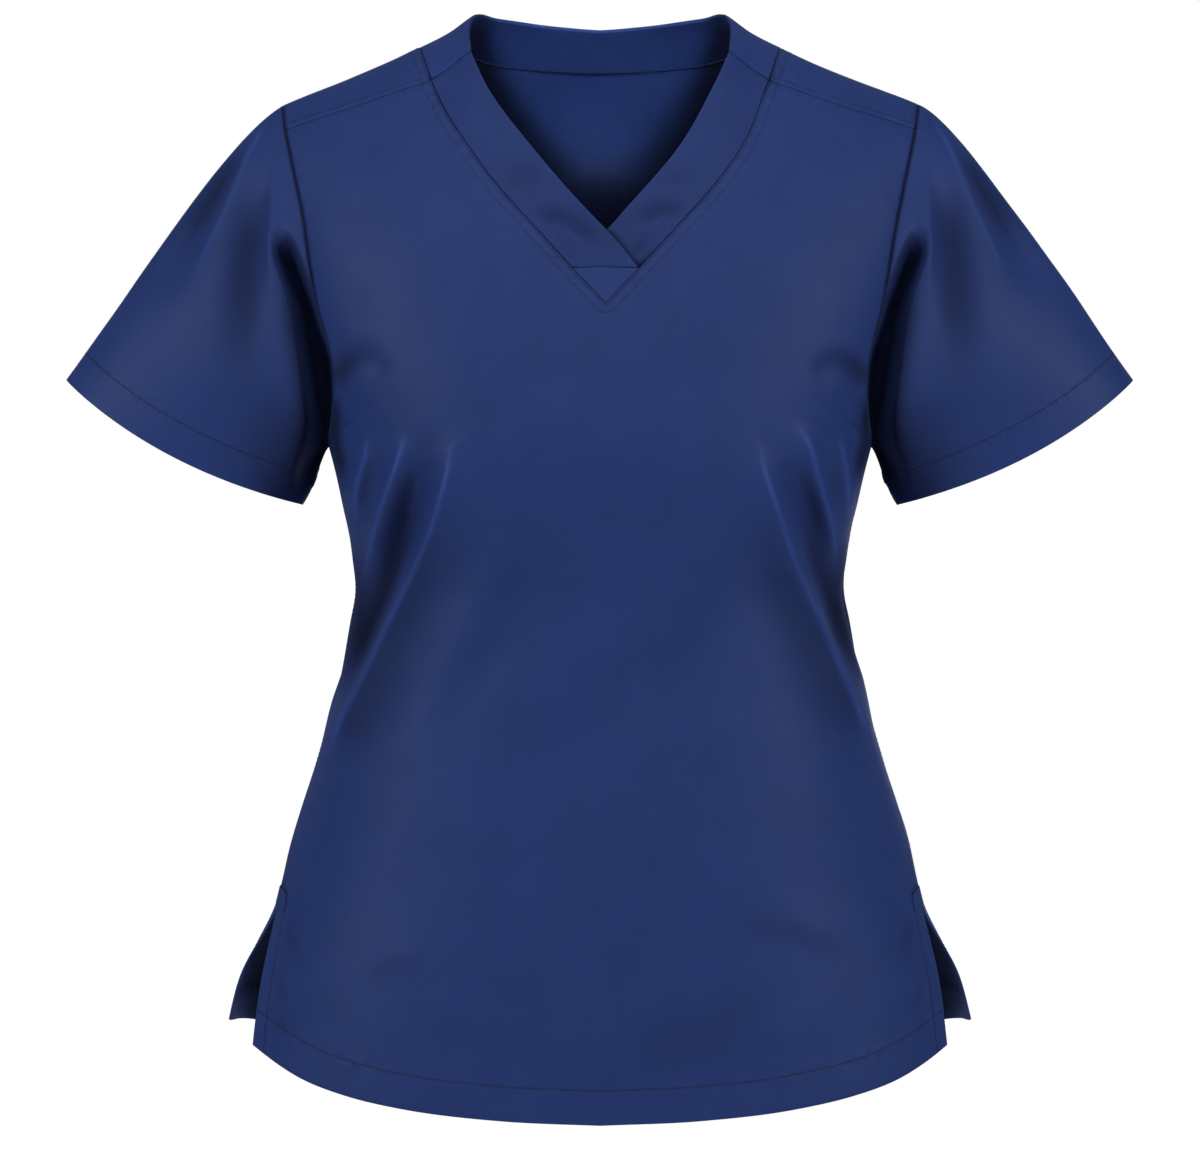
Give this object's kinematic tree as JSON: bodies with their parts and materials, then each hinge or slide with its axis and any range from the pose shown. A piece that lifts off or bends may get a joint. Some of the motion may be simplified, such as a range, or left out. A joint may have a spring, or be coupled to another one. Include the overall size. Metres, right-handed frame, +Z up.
{
  "type": "medical scrub top",
  "caption": "Women's V-neck medical scrub top in its worn hollow form, with short set-in sleeves, a crossed neckband, a curved hem and side vents.",
  "frame": {"origin": "midway between the two high shoulder points, level with them, where the wearer's shoulders hold the top up", "axes": "+Z up to the neck, -Y towards the front, +X to the wearer's left"},
  "size_m": [0.6718, 0.2538, 0.6887],
  "materials": {
    "panel_cloth": "soft twill, faint sheen",
    "sleeve_cloth": "soft twill, faint sheen",
    "band_cloth": "soft twill, doubled"
  },
  "bodies": {
    "root": {"front": "panel_cloth", "back": "panel_cloth", "sleeve_right": "sleeve_cloth", "sleeve_left": "sleeve_cloth", "neckband_back": "band_cloth", "neckband_right": "band_cloth", "neckband_left": "band_cloth", "neck_inset": "panel_cloth", "vent_stay_right": "band_cloth", "vent_stay_left": "band_cloth"}
  },
  "joints": []
}
